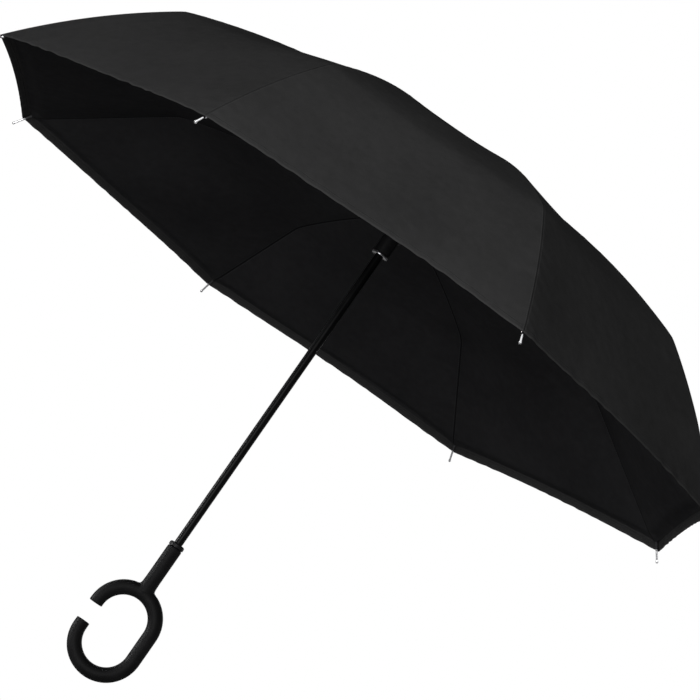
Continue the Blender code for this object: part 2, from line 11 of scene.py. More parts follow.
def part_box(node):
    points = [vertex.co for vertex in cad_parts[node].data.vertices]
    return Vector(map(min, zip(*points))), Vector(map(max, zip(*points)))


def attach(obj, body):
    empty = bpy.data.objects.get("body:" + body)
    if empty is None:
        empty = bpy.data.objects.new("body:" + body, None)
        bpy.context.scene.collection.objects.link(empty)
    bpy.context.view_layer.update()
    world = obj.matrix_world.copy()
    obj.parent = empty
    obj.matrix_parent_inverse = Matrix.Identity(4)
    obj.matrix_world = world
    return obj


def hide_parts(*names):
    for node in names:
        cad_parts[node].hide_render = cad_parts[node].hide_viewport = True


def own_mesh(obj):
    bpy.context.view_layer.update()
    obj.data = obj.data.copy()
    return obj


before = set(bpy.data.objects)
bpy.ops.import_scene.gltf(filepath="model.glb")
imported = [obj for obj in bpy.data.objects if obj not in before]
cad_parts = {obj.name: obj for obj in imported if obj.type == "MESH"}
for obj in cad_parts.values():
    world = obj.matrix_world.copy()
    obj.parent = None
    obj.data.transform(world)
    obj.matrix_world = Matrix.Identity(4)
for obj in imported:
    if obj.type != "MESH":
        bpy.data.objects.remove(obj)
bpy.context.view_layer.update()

# Driving sizes in metres, on the same frame as the CAD parts. A pair whose name has FROM in it says at
# which distances an effect starts and is whole.
RIB_COUNT = 8
SPREAD_RADIUS = 0.525
HEM_HEIGHT = 0.4635
RIB_ANGLE = math.tau / RIB_COUNT
HALF_ANGLE = RIB_ANGLE / 2

# Cloth layers, each profile measured from the hub at share 0 to the rib point at share 1. A knee is a
# radius and a rise above the hem, and its rounding is given at the ribs and at the gores' middles.
KNEE_SHARE = 0.6
OUTER = {
    "knee": (0.363, 0.161),
    "centre_rise": 0.240,
    "bow": 0.007,
    "start_radius": 0.0078,
    "hem_margin": 0.0045,
    "knee_rounding": (0.008, 0.032),
}
INNER = {
    "knee": (0.335, 0.107),
    "centre_rise": 0.134,
    "bow": 0.0,
    "start_radius": 0.0108,
    "hem_margin": 0.0140,
    "knee_rounding": (0.012, 0.035),
}

# How the knees and the creases over the ribs are rounded
KNEE_SAMPLES = 9
KNEE_ROUNDING_SPREAD = 0.09
KNEE_ROUNDING_LIMIT = 0.2
CREASE_ROUNDING = 0.0016
CREASE_ROUNDING_SHARE = 0.06
CREASE_LIFT_SHARE = 0.5

# How far the middle of each gore's hem is drawn up, starting with the gore after the first rib
HEM_LIFTS = (0.0040, 0.0040, 0.0018, 0.0065, 0.0040, 0.0040, 0.0050, 0.0115)

# How much further out the outer cloth lies at each rib, because the ribs aren't all alike
OUTER_SWELLS = (0.0022, 0.0, 0.0, 0.0, 0.0, 0.0, 0.0, 0.0042)
SWELL_FROM_HUB = (0.05, 0.30)
SWELL_FROM_HEM = (0.0, 0.12)

# How far the cloth lies in at the gores' middles, halfway between the ribs
OUTER_HOLLOW = 0.0030
INNER_HOLLOW = 0.0090
HOLLOW_FROM_HUB = (0.02, 0.20)
HOLLOW_FROM_HEM = (0.0, 0.10)

# The cloth's thickness, the outer hem's folded band and the rounded edges of both layers
CLOTH_THICKNESS = 0.00030
HEM_BAND = 0.0085
HEM_BAND_THICKNESS = 0.0009
HEM_BAND_STEP = 0.0012
HEM_BAND_AT_TIP = 0.3
HEM_BAND_TIP_WIDTH = 0.012
OUTER_EDGE_ROUNDING = 0.0007
OUTER_EDGE_SHARE = 0.03
INNER_EDGE_ROUNDING = 0.0005
INNER_EDGE_SHARE = 0.05

# Where the inner layer is sewn to the outer one, with room for the ribs between them
INNER_EDGE_PLACE = 0.0120
SEWN_APPROACH = 0.022
SEWN_GAP = 0.0007
SEWN_FLAT = 0.006
SEWN_HEM_SHIFT = 0.004
ROD_ROOM = 0.0047
ROD_ROOM_WIDTH = 0.010

# Puckers along the hem and the seams, and slack between them. A count is of waves in one turn.
OUTER_SEED = 11
INNER_SEED = 23
WOBBLE_COUNTS = (11, 17, 29, 41)
WOBBLE_SIZES = (0.2, 0.5)
PUCKER_LENGTH = 0.027
PUCKER_HEIGHT = 0.0009
PUCKER_FADE = 0.013
PUCKER_WOBBLE = 2.2
PUCKER_STRENGTH = (0.6, 0.4)
PUCKER_STRENGTH_COUNT = 23
PUCKER_FROM_RIB = 0.02
SEAM_PUCKER_LENGTH = 0.019
SEAM_PUCKER_HEIGHT = 0.00035
SEAM_PUCKER_FADE = 0.012
SEAM_PUCKER_FROM_RIB = 0.003
SEAM_PUCKER_LEAN = 0.3
SEAM_PUCKER_WANDER = (3, 31)
SLACK_HEIGHT = 0.000385
SLACK_WAVES = 5
SLACK_PITCHES = (9, 26)
SLACK_FROM_RIB = (0.004, 0.06)

# The cloth's grid: columns crowd towards the ribs, and rows towards the hem
HALF_GORE_COLUMNS = 28
GORE_COLUMNS = 2 * HALF_GORE_COLUMNS
COLUMN_CROWDING = 1.35
SLICE_COLUMN = 17
ROWS_ABOVE_KNEE = 36
ROWS_BELOW_KNEE = 52
ROW_CROWDING = 1.45

# The inner cloth's doubled strips at the knees
FOLD_ROWS_ABOVE_KNEE = 4
FOLD_ROWS_BELOW_KNEE = 6
FOLD_LIFT = 0.0013

# Shares of its width that each cloth piece would keep when the umbrella is closed; they are listed with the
# pieces but not applied
FOLDED_OUTER_WIDTH_SHARE = 0.20
FOLDED_INNER_WIDTH_SHARE = 0.36
FOLDED_KNEE_WIDTH_SHARE = 0.37


def rib_azimuth(number):
    """A rib's direction round the shaft, with the first rib as number 0."""
    return HALF_ANGLE + RIB_ANGLE * number


# Shader maths


class Value:
    """A shader socket that takes part in plain arithmetic."""

    def __init__(self, shader, socket):
        self.shader = shader
        self.socket = socket

    def maths(self, operation, *others):
        node = self.shader.node("ShaderNodeMath", operation=operation)
        for place, item in enumerate((self, *others)):
            self.shader.feed(node.inputs[place], item)
        return Value(self.shader, node.outputs[0])

    def __add__(self, other):
        return self.maths("ADD", other)

    def __sub__(self, other):
        return self.maths("SUBTRACT", other)

    def __rsub__(self, other):
        node = self.shader.node("ShaderNodeMath", operation="SUBTRACT")
        self.shader.feed(node.inputs[0], other)
        self.shader.feed(node.inputs[1], self)
        return Value(self.shader, node.outputs[0])

    def __mul__(self, other):
        return self.maths("MULTIPLY", other)

    def __truediv__(self, other):
        return self.maths("DIVIDE", other)

    __radd__ = __add__
    __rmul__ = __mul__

    def size(self):
        return self.maths("ABSOLUTE")

    def part(self):
        """What is left after whole numbers are taken away."""
        return self.maths("FRACT")

    def wave(self):
        return self.maths("SINE")

    def at_least(self, other):
        return self.maths("MAXIMUM", other)

    def below(self, other):
        return self.maths("LESS_THAN", other)

    def fade(self, start, end):
        """0 at start and 1 at end, smooth between them."""
        node = self.shader.node("ShaderNodeMapRange", interpolation_type="SMOOTHSTEP")
        self.shader.feed(node.inputs["Value"], self)
        self.shader.feed(node.inputs["From Min"], start)
        self.shader.feed(node.inputs["From Max"], end)
        return Value(self.shader, node.outputs["Result"])


class Shader:
    """One material, with its Principled BSDF and the nodes that feed it."""

    def __init__(self, name, colour, roughness, metallic=0.0, **constants):
        self.material = bpy.data.materials.new(name)
        self.material.use_nodes = True
        self.material.diffuse_color = (*colour, 1.0)
        self.tree = self.material.node_tree
        self.surface = self.tree.nodes["Principled BSDF"]
        self.surface.inputs["Base Color"].default_value = (*colour, 1.0)
        self.surface.inputs["Roughness"].default_value = roughness
        self.surface.inputs["Metallic"].default_value = metallic
        for socket, value in constants.items():
            self.surface.inputs[socket.replace("_", " ")].default_value = value

    def node(self, kind, inputs=None, **settings):
        """A node of a type, with its settings first and then its sockets' values or links."""
        made = self.tree.nodes.new(kind)
        for setting, value in settings.items():
            setattr(made, setting, value)
        for socket, value in (inputs or {}).items():
            self.feed(made.inputs[socket], value)
        return made

    def feed(self, socket, value):
        if isinstance(value, Value):
            self.tree.links.new(value.socket, socket)
        elif isinstance(value, bpy.types.NodeSocket):
            self.tree.links.new(value, socket)
        else:
            socket.default_value = value

    def value(self, socket):
        return Value(self, socket)

    def place(self):
        """The point that is shaded, in the frame's metres."""
        return self.node("ShaderNodeTexCoord").outputs["Object"]

    def uv(self):
        """Metres across the cloth from its rib and along it from the hub."""
        flat = self.node("ShaderNodeUVMap", uv_map="cloth").outputs["UV"]
        split = self.node("ShaderNodeSeparateXYZ", {0: flat})
        return self.value(split.outputs["X"]), self.value(split.outputs["Y"])

    def attribute(self, name):
        return self.value(self.node("ShaderNodeAttribute", attribute_name=name).outputs["Fac"])

    def noise(self, place, scale, detail, roughness):
        sockets = {"Vector": place, "Scale": scale, "Detail": detail, "Roughness": roughness}
        return self.value(self.node("ShaderNodeTexNoise", sockets).outputs["Fac"])

    def mix(self, share, first, second):
        made = self.node("ShaderNodeMix", data_type="RGBA")
        self.feed(made.inputs["Factor"], share)
        self.feed(made.inputs["A"], (*first, 1.0) if isinstance(first, tuple) else first)
        self.feed(made.inputs["B"], (*second, 1.0) if isinstance(second, tuple) else second)
        return made.outputs["Result"]

    def bump(self, height, depth, under=None):
        """A relief, which may lie on another one."""
        made = self.node("ShaderNodeBump", {"Height": height, "Distance": depth, "Strength": 1.0})
        if under is not None:
            self.feed(made.inputs["Normal"], under)
        return made.outputs["Normal"]

    def paint(self, **inputs):
        for socket, value in inputs.items():
            self.feed(self.surface.inputs[socket.replace("_", " ")], value)
        return self.material


# Weave and stitches in metres, and how deep their relief is
THREAD = 0.00042
STITCH_LENGTH = 0.0034
STITCH_SHARE = 0.72
STITCH_HALF_WIDTH = 0.00028
STITCH_RELIEF = 0.00022
HEM_STITCH_PLACE = 0.0074
SEAM_STITCH_PLACE = 0.0019
GROOVE_RELIEF = 0.0005
BAND_EDGE_WIDTH = 0.0009
BAND_EDGE_RELIEF = 0.0003
# Where the painted highlight along the rolled hem edge fades out, and how far its edge wanders
ROLLED_EDGE_HIGHLIGHT = (0.0028, 0.0052)
ROLLED_EDGE_HIGHLIGHT_WANDER = 0.002
CRUMPLE_RELIEF = 0.0011
WEAVE_RELIEF = 0.00005

# How dark the painted shade in the seams' grooves, at the hem band's edge and on the cloth's underside is,
# and how much paler the stitches and the painted highlight along the rolled hem edge are than the cloth
PAINTED_SHADE_SHARE = 0.35
STITCH_AND_HIGHLIGHT_PALENESS = 1.5


def cloth_material(name, dark, light, roughness, line_weight, groove_width, underside_painted_shade):
    """Plain woven cloth with a stitched hem and a stitched seam along each rib, painted shade in the seams'
    grooves, at the hem band's edge and on the underside, and a painted highlight along the rolled hem edge.
    """
    shader = Shader(name, dark, roughness, Specular_IOR_Level=0.0)
    across, along = shader.uv()
    hem = shader.attribute("hem_distance")
    warp = (across * (math.tau / THREAD)).wave()
    weft = (along * (math.tau / THREAD)).wave()
    weave = warp * weft
    slub = shader.noise(shader.place(), 90.0, 4.0, 0.6)
    patch = shader.noise(shader.place(), 7.0, 3.0, 0.5)
    stitch_edge = (STITCH_HALF_WIDTH, 2 * STITCH_HALF_WIDTH)
    hem_line = 1.0 - (hem - HEM_STITCH_PLACE).size().fade(*stitch_edge)
    hem_dash = (across / STITCH_LENGTH).part().below(STITCH_SHARE)
    seam_line = 1.0 - (across.size() - SEAM_STITCH_PLACE).size().fade(*stitch_edge)
    seam_dash = (along / STITCH_LENGTH).part().below(STITCH_SHARE)
    stitches = (hem_line * hem_dash).at_least(seam_line * seam_dash)
    groove = 1.0 - across.size().fade(0.0, groove_width)
    hem_edge = 1.0 - (hem - HEM_BAND).size().fade(0.0, BAND_EDGE_WIDTH)
    tone = (patch * 0.5 + slub * 0.35 + weave * 0.06).fade(0.15, 0.75)
    shade = shader.mix(tone, dark, light)
    # Painted shade: the seams' grooves and the hem band's edge are darkened in colour, where shade falls
    painted_shade_colour = tuple(channel * PAINTED_SHADE_SHARE for channel in dark)
    shade = shader.mix(groove.at_least(hem_edge * 0.4) * line_weight, shade, painted_shade_colour)
    # The stitches' pale colour, also used for the painted highlight along the rolled hem edge
    pale = tuple(channel * STITCH_AND_HIGHLIGHT_PALENESS for channel in light)
    # A painted highlight: the rolled hem edge is paler in colour, standing in for the light it catches
    rolled_edge_highlight = 1.0 - (hem + patch * ROLLED_EDGE_HIGHLIGHT_WANDER).fade(*ROLLED_EDGE_HIGHLIGHT)
    shade = shader.mix((stitches * line_weight).at_least(rolled_edge_highlight * 0.45), shade, pale)
    # Painted shade on the cloth's underside, as dark as the painted shade in the seams
    shade = shader.mix(shader.attribute("underside") * underside_painted_shade, shade, painted_shade_colour)
    crumple = shader.noise(shader.place(), 38.0, 3.0, 0.5)
    relief = shader.bump(crumple, CRUMPLE_RELIEF)
    sewing = stitches * STITCH_RELIEF - groove * GROOVE_RELIEF - hem_edge * BAND_EDGE_RELIEF
    relief = shader.bump(sewing, 1.0, relief)
    relief = shader.bump(weave * 0.5 + slub, WEAVE_RELIEF, relief)
    return shader.paint(Base_Color=shade, Roughness=slub * 0.16 + (roughness - 0.08), Normal=relief)


MOULD_LINE = (0.00008, 0.00035)
MOULD_LINE_RELIEF = 0.00012
GRIP_GRAIN_RELIEF = 0.00006


def grip_material():
    """Soft matt moulding with a fine grain, a mould line and a little polish from handling."""
    shader = Shader("soft_black_grip", (0.0040, 0.0040, 0.0042), 0.5, Specular_IOR_Level=0.03)
    place = shader.place()
    parts = shader.node("ShaderNodeSeparateXYZ", {0: place})
    grain = shader.noise(place, 1400.0, 2.0, 0.6)
    cloud = shader.noise(place, 40.0, 4.0, 0.6)
    line = 1.0 - shader.value(parts.outputs["Y"]).size().fade(*MOULD_LINE)
    shade = shader.mix(cloud.fade(0.25, 0.8), (0.0028, 0.0028, 0.0029), (0.0051, 0.0051, 0.0053))
    relief = shader.bump(grain, GRIP_GRAIN_RELIEF)
    relief = shader.bump(line * MOULD_LINE_RELIEF, 1.0, relief)
    return shader.paint(Base_Color=shade, Roughness=cloud * 0.18 + 0.44, Normal=relief)


PLASTIC_GRAIN_RELIEF = 0.00004


def plastic_material(name, colour, roughness):
    """Satin plastic with a fine grain and a slightly uneven sheen."""
    shader = Shader(name, colour, roughness, Specular_IOR_Level=0.06)
    place = shader.place()
    grain = shader.noise(place, 900.0, 2.0, 0.6)
    cloud = shader.noise(place, 60.0, 4.0, 0.6)
    light = tuple(channel * 1.6 for channel in colour)
    shade = shader.mix(cloud.fade(0.3, 0.8), colour, light)
    relief = shader.bump(grain, PLASTIC_GRAIN_RELIEF)
    return shader.paint(Base_Color=shade, Roughness=cloud * 0.2 + (roughness - 0.1), Normal=relief)


DRAWN_SCALE = (900.0, 900.0, 9.0)
DRAWN_RELIEF = 0.00003


def enamel_material():
    """Black enamel on steel, with faint lengthwise drawing marks and rubbed places."""
    shader = Shader("black_enamel", (0.0012, 0.0012, 0.0013), 0.3, Specular_IOR_Level=0.04)
    place = shader.place()
    drawn = shader.node("ShaderNodeMapping", {"Vector": place, "Scale": DRAWN_SCALE})
    marks = shader.noise(drawn.outputs["Vector"], 1.0, 3.0, 0.6)
    cloud = shader.noise(place, 25.0, 4.0, 0.6)
    shade = shader.mix(cloud.fade(0.35, 0.8), (0.0008, 0.0008, 0.0009), (0.0018, 0.0018, 0.0020))
    relief = shader.bump(marks, DRAWN_RELIEF)
    return shader.paint(Base_Color=shade, Roughness=marks * 0.16 + cloud * 0.1 + 0.2, Normal=relief)


SCRATCH_RELIEF = 0.00002


def metal_material(name, dark, light):
    """Plated steel with fine scratches."""
    shader = Shader(name, light, 0.2, 1.0)
    place = shader.place()
    scratches = shader.noise(place, 700.0, 4.0, 0.7)
    cloud = shader.noise(place, 120.0, 3.0, 0.6)
    shade = shader.mix(cloud.fade(0.3, 0.8), dark, light)
    relief = shader.bump(scratches, SCRATCH_RELIEF)
    return shader.paint(Base_Color=shade, Roughness=scratches * 0.2 + 0.12, Normal=relief)


# The cloth layers


def profile(layer, share):
    """Radius and rise along a rib, at an array of shares."""
    knee_radius, knee_rise = layer["knee"]
    inward = np.clip(share / KNEE_SHARE, 0, 1)
    beyond = np.clip((share - KNEE_SHARE) / (1 - KNEE_SHARE), 0, None)
    bulge = 4 * layer["bow"] * beyond * (1 - beyond)
    slope = math.hypot(knee_rise, SPREAD_RADIUS - knee_radius)
    radius = knee_radius * inward + (SPREAD_RADIUS - knee_radius) * beyond + bulge * knee_rise / slope
    dome = layer["centre_rise"] - (layer["centre_rise"] - knee_rise) * inward**2
    rise = dome - knee_rise * beyond + bulge * (SPREAD_RADIUS - knee_radius) / slope
    return radius, rise


def softened_profile(layer, share, reach):
    """The profile with its knee rounded over a reach on either side."""
    from_knee = share - KNEE_SHARE
    width = reach / SPREAD_RADIUS * np.exp(-((from_knee / KNEE_ROUNDING_SPREAD) ** 2))
    offsets = np.linspace(-1, 1, KNEE_SAMPLES)
    rises = [profile(layer, share + offset * width)[1] for offset in offsets]
    mean_rise = sum(rises) / KNEE_SAMPLES
    radius, rise = profile(layer, share)
    return radius, np.where(np.abs(from_knee) < KNEE_ROUNDING_LIMIT, mean_rise, rise)


def gore_columns():
    """Places across one gore from 0 to 1, crowded towards both ribs."""
    steps = np.arange(HALF_GORE_COLUMNS + 1) / HALF_GORE_COLUMNS
    half = 0.5 * steps**COLUMN_CROWDING
    return np.concatenate([half, 1 - half[-2:0:-1]])


def places_round():
    """Places of all columns round the shaft, counted in gores from the first rib."""
    return (np.arange(RIB_COUNT)[:, None] + gore_columns()[None, :]).reshape(-1)


def layer_rows(layer):
    """Shares along a rib, from the cloth's hole at the hub over the knee to the hem."""
    knee_radius = layer["knee"][0]
    start = KNEE_SHARE * layer["start_radius"] / knee_radius
    end = 1 - (1 - KNEE_SHARE) * layer["hem_margin"] / (SPREAD_RADIUS - knee_radius)
    upper = start + (KNEE_SHARE - start) * np.arange(ROWS_ABOVE_KNEE) / ROWS_ABOVE_KNEE
    steps = np.arange(ROWS_BELOW_KNEE + 1) / ROWS_BELOW_KNEE
    return np.concatenate([upper, KNEE_SHARE + (end - KNEE_SHARE) * (1 - (1 - steps) ** ROW_CROWDING)])


def smooth(value, start, end):
    """0 up to start and 1 from end on, smooth between them."""
    share = np.clip((value - start) / (end - start), 0, 1)
    return share * share * (3 - 2 * share)


def grid_normals(points):
    """Upward normals of a grid whose columns run all the way round."""
    across = np.roll(points, -1, axis=1) - np.roll(points, 1, axis=1)
    along = np.gradient(points, axis=0)
    normals = np.cross(along, across)
    normals /= np.linalg.norm(normals, axis=2, keepdims=True)
    return normals * np.sign(normals[:, :, 2:3].mean())


def layer_points(layer):
    """The layer's surface as a grid of rows from the hub to the hem and columns round the shaft."""
    rows = layer_rows(layer)[:, None]
    places = gore_columns()
    across = np.tile(places, RIB_COUNT)[None, :]
    gore = np.repeat(np.arange(RIB_COUNT), len(places))[None, :]
    between = 4 * across * (1 - across)
    at_rib, at_middle = layer["knee_rounding"]
    reach = at_rib + (at_middle - at_rib) * between
    radius, rise = softened_profile(layer, rows + 0 * across, reach)
    first = rib_azimuth(gore)
    second = rib_azimuth(gore + 1)
    x = radius * (np.cos(first) * (1 - across) + np.cos(second) * across)
    y = radius * (np.sin(first) * (1 - across) + np.sin(second) * across)
    from_rib = 2 * radius * math.sin(HALF_ANGLE) * np.minimum(across, 1 - across)
    rounding = np.minimum(CREASE_ROUNDING, CREASE_ROUNDING_SHARE * radius)
    lift = math.tan(HALF_ANGLE) * (from_rib + rounding - np.hypot(from_rib, rounding))
    middle = (first + second) / 2
    x = x + lift * np.cos(middle) * CREASE_LIFT_SHARE
    y = y + lift * np.sin(middle) * CREASE_LIFT_SHARE
    beyond = np.clip((rows - KNEE_SHARE) / (1 - KNEE_SHARE), 0, 1)
    rise = rise + np.array(HEM_LIFTS)[gore] * between * beyond**2
    points = np.stack([x, y, rise + HEM_HEIGHT], axis=2)
    return points, from_rib, between


def distance_along(points):
    """How far each point of the grid is from the hub, measured down the cloth."""
    steps = np.linalg.norm(np.diff(points, axis=0), axis=2)
    return np.concatenate([np.zeros((1, points.shape[1])), np.cumsum(steps, axis=0)])


def relief_of(points, from_rib, hem_distance, seed):
    """How far hem puckers, seam puckers and slack lift the cloth."""
    columns = points.shape[1]
    draw = np.random.default_rng(seed)
    turn = np.arange(columns) / columns * math.tau
    wobble = 0.0
    for count in WOBBLE_COUNTS:
        wobble = wobble + draw.uniform(*WOBBLE_SIZES) * np.sin(turn * count + draw.uniform(0, math.tau))
    hem_line = points[-1]
    travelled = np.cumsum(np.linalg.norm(hem_line - np.roll(hem_line, 1, axis=0), axis=1))
    pucker = np.sin(math.tau * travelled / PUCKER_LENGTH + PUCKER_WOBBLE * wobble)[None, :]
    least, more = PUCKER_STRENGTH
    strength = least + more * np.sin(turn * PUCKER_STRENGTH_COUNT + draw.uniform(0, math.tau))[None, :]
    near_hem = np.exp(-((hem_distance / PUCKER_FADE) ** 2)) * np.clip(from_rib / PUCKER_FROM_RIB, 0, 1)
    height = PUCKER_HEIGHT * pucker * strength * near_hem
    reach, pitch = SEAM_PUCKER_WANDER
    leaning = (hem_distance + SEAM_PUCKER_LEAN * from_rib) / SEAM_PUCKER_LENGTH
    seam = np.sin(math.tau * leaning + reach * np.sin(hem_distance * pitch) + wobble[None, :])
    near_seam = np.exp(-from_rib / SEAM_PUCKER_FADE) * np.clip(from_rib / SEAM_PUCKER_FROM_RIB, 0, 1)
    height += SEAM_PUCKER_HEIGHT * seam * near_seam
    x, y = points[:, :, 0], points[:, :, 1]
    coarse, fine = SLACK_PITCHES
    slack = 0.0
    for _ in range(SLACK_WAVES):
        way = x * draw.uniform(coarse, fine) + y * draw.uniform(-fine, fine)
        slack = slack + np.sin(way + draw.uniform(0, math.tau))
    height += SLACK_HEIGHT * slack * smooth(from_rib, *SLACK_FROM_RIB)
    return height


def edge_thinning(distance, rounding, least):
    """How much of its thickness the cloth keeps towards a rounded edge."""
    edge = np.clip(distance / rounding, 0, 1)
    return np.sqrt(np.clip(1 - (1 - edge) ** 2, least, 1))


def outer_layer():
    """The outer layer with its relief, its unlike ribs and its folded hem band."""
    points, from_rib, between = layer_points(OUTER)
    along = distance_along(points)
    hem_distance = along[-1][None, :] - along
    normals = grid_normals(points)
    height = relief_of(points, from_rib, hem_distance, OUTER_SEED)
    hollow = smooth(along, *HOLLOW_FROM_HUB) * smooth(hem_distance, *HOLLOW_FROM_HEM)
    height -= OUTER_HOLLOW * between * hollow
    swell = np.interp(places_round(), np.arange(RIB_COUNT + 1), OUTER_SWELLS + OUTER_SWELLS[:1])
    height += swell[None, :] * smooth(along, *SWELL_FROM_HUB) * smooth(hem_distance, *SWELL_FROM_HEM)
    points = points + normals * height[:, :, None]
    normals = grid_normals(points)
    band = 1 - smooth(hem_distance, HEM_BAND, HEM_BAND + HEM_BAND_STEP)
    band = band * (HEM_BAND_AT_TIP + (1 - HEM_BAND_AT_TIP) * smooth(from_rib, 0.0, HEM_BAND_TIP_WIDTH))
    thickness = CLOTH_THICKNESS + (HEM_BAND_THICKNESS - CLOTH_THICKNESS) * band
    thickness = thickness * edge_thinning(hem_distance, OUTER_EDGE_ROUNDING, OUTER_EDGE_SHARE)
    under = points - normals * thickness[:, :, None]
    return {"top": points, "under": under, "along": along, "hem": hem_distance, "normals": normals}


def inner_layer(outer):
    """The inner layer, drawn up to the outer one where the two are sewn together near the hem."""
    points, from_rib, between = layer_points(INNER)
    along = distance_along(points)
    to_edge = along[-1][None, :] - along
    target_row = np.argmin(np.abs(outer["hem"] - INNER_EDGE_PLACE), axis=0)
    columns = np.arange(points.shape[1])
    room = SEWN_GAP + (ROD_ROOM - SEWN_GAP) * np.exp(-((from_rib[-1] / ROD_ROOM_WIDTH) ** 2))
    target = outer["under"][target_row, columns] - outer["normals"][target_row, columns] * room[:, None]
    pull = 1 - smooth(to_edge, 0.0, SEWN_APPROACH)
    points = points + (target - points[-1])[None, :, :] * pull[:, :, None]
    normals = grid_normals(points)
    height = relief_of(points, from_rib, to_edge + SEWN_HEM_SHIFT, INNER_SEED)
    height *= smooth(to_edge, 0.0, SEWN_FLAT)
    hollow = smooth(along, *HOLLOW_FROM_HUB) * smooth(to_edge, *HOLLOW_FROM_HEM)
    height -= INNER_HOLLOW * between * hollow
    points = points + normals * height[:, :, None]
    normals = grid_normals(points)
    thickness = CLOTH_THICKNESS * edge_thinning(to_edge, INNER_EDGE_ROUNDING, INNER_EDGE_SHARE)
    under = points - normals * thickness[:, :, None]
    hem = to_edge + INNER_EDGE_PLACE
    return {"top": points, "under": under, "along": along, "hem": hem, "normals": normals}


def lifted(layer, height):
    """The same layer, a little further up."""
    raised = {key: layer[key] + layer["normals"] * height for key in ("top", "under")}
    return {**layer, **raised}


def shell_faces(height, width):
    """Faces of a closed sheet on a grid: its top, its underside and the edges between them."""
    top = np.arange(height * width).reshape(height, width)
    under = top + height * width
    strips = []
    for row in range(height - 1):
        strips.append((top[row], top[row + 1]))
        strips.append((under[row + 1], under[row]))
    strips.append((under[0], top[0]))
    strips.append((top[-1], under[-1]))
    strips.append((top[:, 0], under[:, 0]))
    strips.append((under[:, -1], top[:, -1]))
    faces = []
    for first, second in strips:
        for corners in zip(first[:-1], first[1:], second[1:], second[:-1]):
            faces.append(tuple(int(corner) for corner in corners))
    return faces


def flat_places(layer, picked, spread, rib_column):
    """Where the cloth's points lie on the flat: metres across from the rib and along from the hub."""
    whole = layer["top"].shape[1]
    position = places_round()[(spread - rib_column) % whole]
    position = np.where(position > RIB_COUNT / 2, position - RIB_COUNT, position)
    rib_line = layer["top"][picked[0].reshape(-1), rib_column % whole]
    width = 2 * np.hypot(rib_line[:, 0], rib_line[:, 1]) * math.sin(HALF_ANGLE)
    across = width[:, None] * position[None, :]
    return np.stack([across, layer["along"][picked]], axis=2).reshape(-1, 2)


def add_point_value(mesh, name, values):
    """Writes one number for each of a mesh's points, which a material reads by its name."""
    mesh.attributes.new(name, "FLOAT", "POINT").data.foreach_set("value", values.astype(np.float32))


def panel(name, layer, rows, columns, rib_column):
    """A closed piece of a layer between two rows and two columns, with the layer's normals, and its area."""
    spread = np.arange(columns[0], columns[1] + 1)
    picked = np.ix_(np.arange(rows[0], rows[1] + 1), spread % layer["top"].shape[1])
    top = layer["top"][picked]
    height, width = top.shape[:2]
    vertices = np.concatenate([top.reshape(-1, 3), layer["under"][picked].reshape(-1, 3)])
    mesh = bpy.data.meshes.new(name)
    mesh.from_pydata(vertices.tolist(), [], shell_faces(height, width))
    mesh.update()
    uv = np.tile(flat_places(layer, picked, spread, rib_column), (2, 1))
    corners = np.zeros(len(mesh.loops), dtype=np.int32)
    mesh.loops.foreach_get("vertex_index", corners)
    mesh.uv_layers.new(name="cloth").data.foreach_set("uv", uv[corners].reshape(-1))
    add_point_value(mesh, "hem_distance", np.tile(layer["hem"][picked].reshape(-1), 2))
    # Marks the underside, which the outer cloth's material darkens with painted shade
    add_point_value(mesh, "underside", np.repeat([0.0, 1.0], height * width))
    piece = bpy.data.objects.new(name, mesh)
    bpy.context.scene.collection.objects.link(piece)
    mesh.shade_smooth()
    normals = layer["normals"][picked].reshape(-1, 3)
    if mesh.polygons[0].normal.dot(Vector(normals[0])) < 0:
        mesh.flip_normals()
    mesh.normals_split_custom_set_from_vertices(np.concatenate([normals, -normals]).tolist())
    cell = np.linalg.norm(np.cross(top[1:, :-1] - top[:-1, :-1], top[:-1, 1:] - top[:-1, :-1]), axis=2)
    return piece, float(cell.sum())


def stretch_on(area, layer, rows, columns, held_by):
    """Works out the widest a cloth piece is when cut flat; the result is not kept."""
    along = layer["along"][rows[1]].max() - layer["along"][rows[0]].min()
    widest = area / along
    for row in rows:
        line = layer["top"][row, np.arange(columns[0], columns[1] + 1) % layer["top"].shape[1]]
        widest = max(widest, float(np.linalg.norm(np.diff(line, axis=0), axis=1).sum()))


def rib_plane(number):
    """Directions outwards along a rib and sideways across it."""
    azimuth = rib_azimuth(number)
    outward = Vector((math.cos(azimuth), math.sin(azimuth), 0.0))
    return outward, Vector((-math.sin(azimuth), math.cos(azimuth), 0.0))


def gather(piece):
    """Gives a cloth piece its own copy of its mesh."""
    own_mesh(piece)


